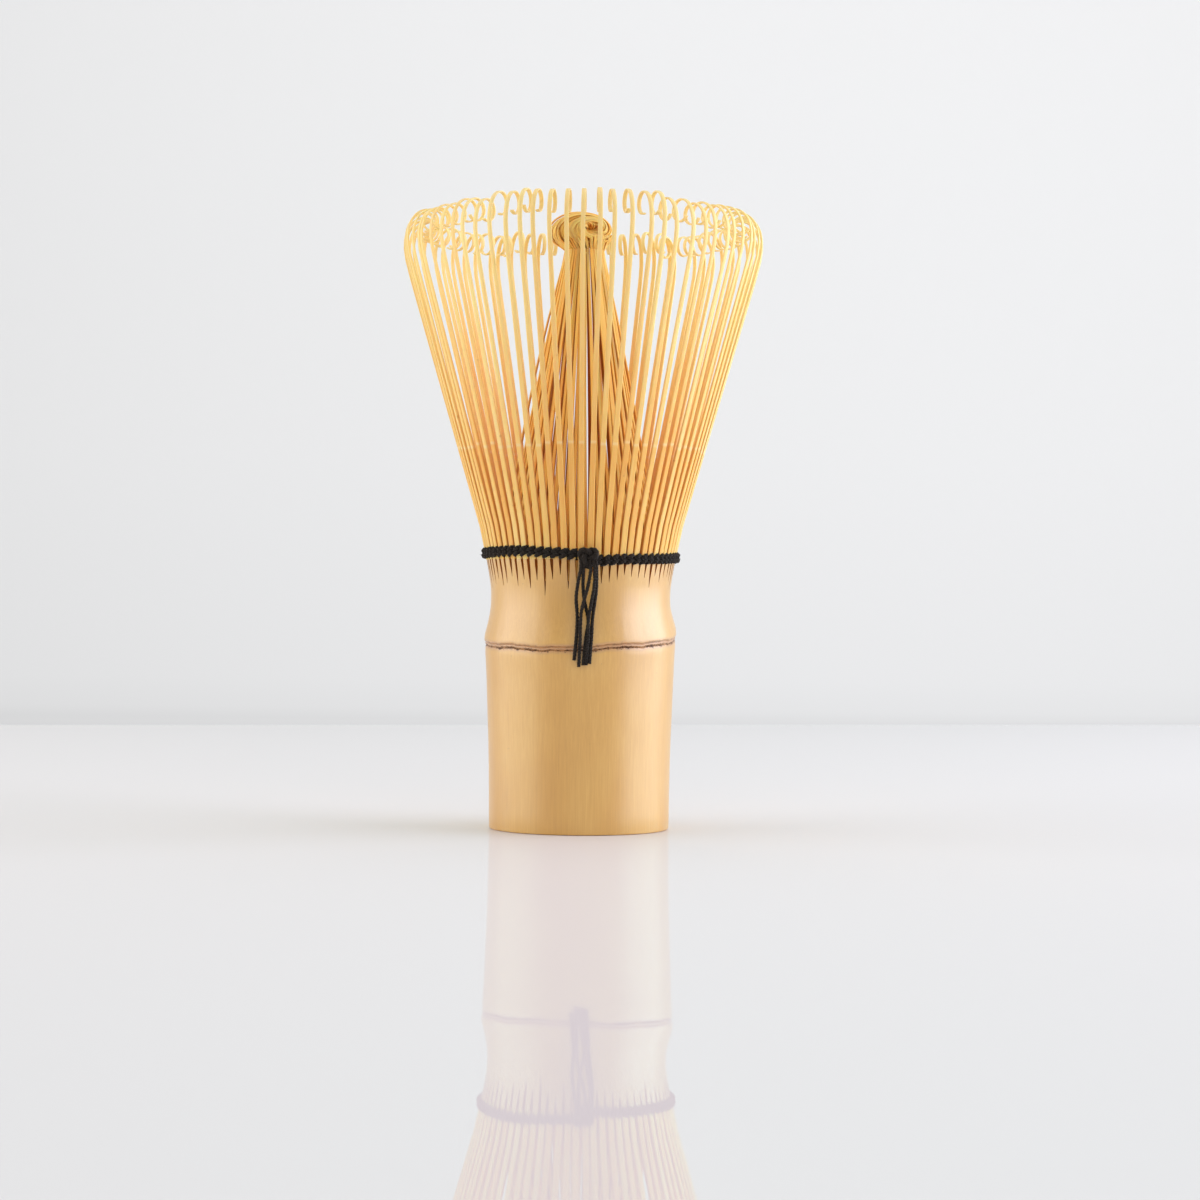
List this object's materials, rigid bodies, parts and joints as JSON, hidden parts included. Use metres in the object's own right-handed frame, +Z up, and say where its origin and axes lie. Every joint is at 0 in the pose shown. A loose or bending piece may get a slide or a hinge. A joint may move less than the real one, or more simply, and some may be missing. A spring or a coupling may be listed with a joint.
{
  "type": "bamboo tea whisk",
  "caption": "Tea whisk made of one bamboo culm: a hollow handle whose upper wall is split into flared springy tines with curled tips, round a cone of fine inner tines bound by black thread.",
  "frame": {"origin": "centre of the foot of the handle, on the surface that the whisk stands on", "axes": "+Z up along the axis from the foot to the crown, -Y to the front, where the thread is knotted"},
  "size_m": [0.0598, 0.0598, 0.1049],
  "materials": {
    "bamboo_handle": "satin",
    "bamboo_tines": "satin",
    "bamboo_inner_tines": "satin",
    "black_thread": "matte"
  },
  "bodies": {
    "culm": {"handle": "bamboo_handle", "inner_tines_01": "bamboo_inner_tines", "inner_tines_02": "bamboo_inner_tines", "inner_tines_03": "bamboo_inner_tines", "inner_tines_04": "bamboo_inner_tines", "inner_tines_05": "bamboo_inner_tines", "inner_tines_06": "bamboo_inner_tines", "inner_tines_07": "bamboo_inner_tines", "inner_tines_08": "bamboo_inner_tines", "inner_tines_09": "bamboo_inner_tines", "inner_tines_10": "bamboo_inner_tines", "inner_tines_11": "bamboo_inner_tines", "inner_tines_12": "bamboo_inner_tines", "inner_tip_knot": "bamboo_inner_tines", "thread_wrap_outer": "black_thread", "thread_wrap_inner": "black_thread", "thread_knot": "black_thread", "thread_tail_01": "black_thread", "thread_tail_02": "black_thread", "thread_tail_03": "black_thread", "thread_tail_04": "black_thread", "thread_tail_05": "black_thread"},
    "tines_01": {"outer_tines_01": "bamboo_tines"},
    "tines_02": {"outer_tines_02": "bamboo_tines"},
    "tines_03": {"outer_tines_03": "bamboo_tines"},
    "tines_04": {"outer_tines_04": "bamboo_tines"},
    "tines_05": {"outer_tines_05": "bamboo_tines"},
    "tines_06": {"outer_tines_06": "bamboo_tines"},
    "tines_07": {"outer_tines_07": "bamboo_tines"},
    "tines_08": {"outer_tines_08": "bamboo_tines"},
    "tines_09": {"outer_tines_09": "bamboo_tines"},
    "tines_10": {"outer_tines_10": "bamboo_tines"},
    "tines_11": {"outer_tines_11": "bamboo_tines"},
    "tines_12": {"outer_tines_12": "bamboo_tines"},
    "tines_13": {"outer_tines_13": "bamboo_tines"},
    "tines_14": {"outer_tines_14": "bamboo_tines"},
    "tines_15": {"outer_tines_15": "bamboo_tines"},
    "tines_16": {"outer_tines_16": "bamboo_tines"},
    "tines_17": {"outer_tines_17": "bamboo_tines"},
    "tines_18": {"outer_tines_18": "bamboo_tines"},
    "tines_19": {"outer_tines_19": "bamboo_tines"},
    "tines_20": {"outer_tines_20": "bamboo_tines"},
    "tines_21": {"outer_tines_21": "bamboo_tines"},
    "tines_22": {"outer_tines_22": "bamboo_tines"},
    "tines_23": {"outer_tines_23": "bamboo_tines"},
    "tines_24": {"outer_tines_24": "bamboo_tines"}
  },
  "joints": [
    {"name": "tines_01_flex", "type": "hinge", "parent": "culm", "child": "tines_01", "pos_m": [0.0158, 0, 0.0465], "axis": [0, 1, 0], "range_deg": [-4, 6], "stiffness_Nm_per_rad": 0.013},
    {"name": "tines_02_flex", "type": "hinge", "parent": "culm", "child": "tines_02", "pos_m": [0.01526, 0.00409, 0.0465], "axis": [-0.2588, 0.9659, 0], "range_deg": [-4, 6], "stiffness_Nm_per_rad": 0.013},
    {"name": "tines_03_flex", "type": "hinge", "parent": "culm", "child": "tines_03", "pos_m": [0.01368, 0.0079, 0.0465], "axis": [-0.5, 0.866, 0], "range_deg": [-4, 6], "stiffness_Nm_per_rad": 0.013},
    {"name": "tines_04_flex", "type": "hinge", "parent": "culm", "child": "tines_04", "pos_m": [0.01117, 0.01117, 0.0465], "axis": [-0.7071, 0.7071, 0], "range_deg": [-4, 6], "stiffness_Nm_per_rad": 0.013},
    {"name": "tines_05_flex", "type": "hinge", "parent": "culm", "child": "tines_05", "pos_m": [0.0079, 0.01368, 0.0465], "axis": [-0.866, 0.5, 0], "range_deg": [-4, 6], "stiffness_Nm_per_rad": 0.013},
    {"name": "tines_06_flex", "type": "hinge", "parent": "culm", "child": "tines_06", "pos_m": [0.00409, 0.01526, 0.0465], "axis": [-0.9659, 0.2588, 0], "range_deg": [-4, 6], "stiffness_Nm_per_rad": 0.013},
    {"name": "tines_07_flex", "type": "hinge", "parent": "culm", "child": "tines_07", "pos_m": [0, 0.0158, 0.0465], "axis": [-1, 0, 0], "range_deg": [-4, 6], "stiffness_Nm_per_rad": 0.013},
    {"name": "tines_08_flex", "type": "hinge", "parent": "culm", "child": "tines_08", "pos_m": [-0.00409, 0.01526, 0.0465], "axis": [-0.9659, -0.2588, 0], "range_deg": [-4, 6], "stiffness_Nm_per_rad": 0.013},
    {"name": "tines_09_flex", "type": "hinge", "parent": "culm", "child": "tines_09", "pos_m": [-0.0079, 0.01368, 0.0465], "axis": [-0.866, -0.5, 0], "range_deg": [-4, 6], "stiffness_Nm_per_rad": 0.013},
    {"name": "tines_10_flex", "type": "hinge", "parent": "culm", "child": "tines_10", "pos_m": [-0.01117, 0.01117, 0.0465], "axis": [-0.7071, -0.7071, 0], "range_deg": [-4, 6], "stiffness_Nm_per_rad": 0.013},
    {"name": "tines_11_flex", "type": "hinge", "parent": "culm", "child": "tines_11", "pos_m": [-0.01368, 0.0079, 0.0465], "axis": [-0.5, -0.866, 0], "range_deg": [-4, 6], "stiffness_Nm_per_rad": 0.013},
    {"name": "tines_12_flex", "type": "hinge", "parent": "culm", "child": "tines_12", "pos_m": [-0.01526, 0.00409, 0.0465], "axis": [-0.2588, -0.9659, 0], "range_deg": [-4, 6], "stiffness_Nm_per_rad": 0.013},
    {"name": "tines_13_flex", "type": "hinge", "parent": "culm", "child": "tines_13", "pos_m": [-0.0158, 0, 0.0465], "axis": [0, -1, 0], "range_deg": [-4, 6], "stiffness_Nm_per_rad": 0.013},
    {"name": "tines_14_flex", "type": "hinge", "parent": "culm", "child": "tines_14", "pos_m": [-0.01526, -0.00409, 0.0465], "axis": [0.2588, -0.9659, 0], "range_deg": [-4, 6], "stiffness_Nm_per_rad": 0.013},
    {"name": "tines_15_flex", "type": "hinge", "parent": "culm", "child": "tines_15", "pos_m": [-0.01368, -0.0079, 0.0465], "axis": [0.5, -0.866, 0], "range_deg": [-4, 6], "stiffness_Nm_per_rad": 0.013},
    {"name": "tines_16_flex", "type": "hinge", "parent": "culm", "child": "tines_16", "pos_m": [-0.01117, -0.01117, 0.0465], "axis": [0.7071, -0.7071, 0], "range_deg": [-4, 6], "stiffness_Nm_per_rad": 0.013},
    {"name": "tines_17_flex", "type": "hinge", "parent": "culm", "child": "tines_17", "pos_m": [-0.0079, -0.01368, 0.0465], "axis": [0.866, -0.5, 0], "range_deg": [-4, 6], "stiffness_Nm_per_rad": 0.013},
    {"name": "tines_18_flex", "type": "hinge", "parent": "culm", "child": "tines_18", "pos_m": [-0.00409, -0.01526, 0.0465], "axis": [0.9659, -0.2588, 0], "range_deg": [-4, 6], "stiffness_Nm_per_rad": 0.013},
    {"name": "tines_19_flex", "type": "hinge", "parent": "culm", "child": "tines_19", "pos_m": [0, -0.0158, 0.0465], "axis": [1, 0, 0], "range_deg": [-4, 6], "stiffness_Nm_per_rad": 0.013},
    {"name": "tines_20_flex", "type": "hinge", "parent": "culm", "child": "tines_20", "pos_m": [0.00409, -0.01526, 0.0465], "axis": [0.9659, 0.2588, 0], "range_deg": [-4, 6], "stiffness_Nm_per_rad": 0.013},
    {"name": "tines_21_flex", "type": "hinge", "parent": "culm", "child": "tines_21", "pos_m": [0.0079, -0.01368, 0.0465], "axis": [0.866, 0.5, 0], "range_deg": [-4, 6], "stiffness_Nm_per_rad": 0.013},
    {"name": "tines_22_flex", "type": "hinge", "parent": "culm", "child": "tines_22", "pos_m": [0.01117, -0.01117, 0.0465], "axis": [0.7071, 0.7071, 0], "range_deg": [-4, 6], "stiffness_Nm_per_rad": 0.013},
    {"name": "tines_23_flex", "type": "hinge", "parent": "culm", "child": "tines_23", "pos_m": [0.01368, -0.0079, 0.0465], "axis": [0.5, 0.866, 0], "range_deg": [-4, 6], "stiffness_Nm_per_rad": 0.013},
    {"name": "tines_24_flex", "type": "hinge", "parent": "culm", "child": "tines_24", "pos_m": [0.01526, -0.00409, 0.0465], "axis": [0.2588, 0.9659, 0], "range_deg": [-4, 6], "stiffness_Nm_per_rad": 0.013}
  ]
}
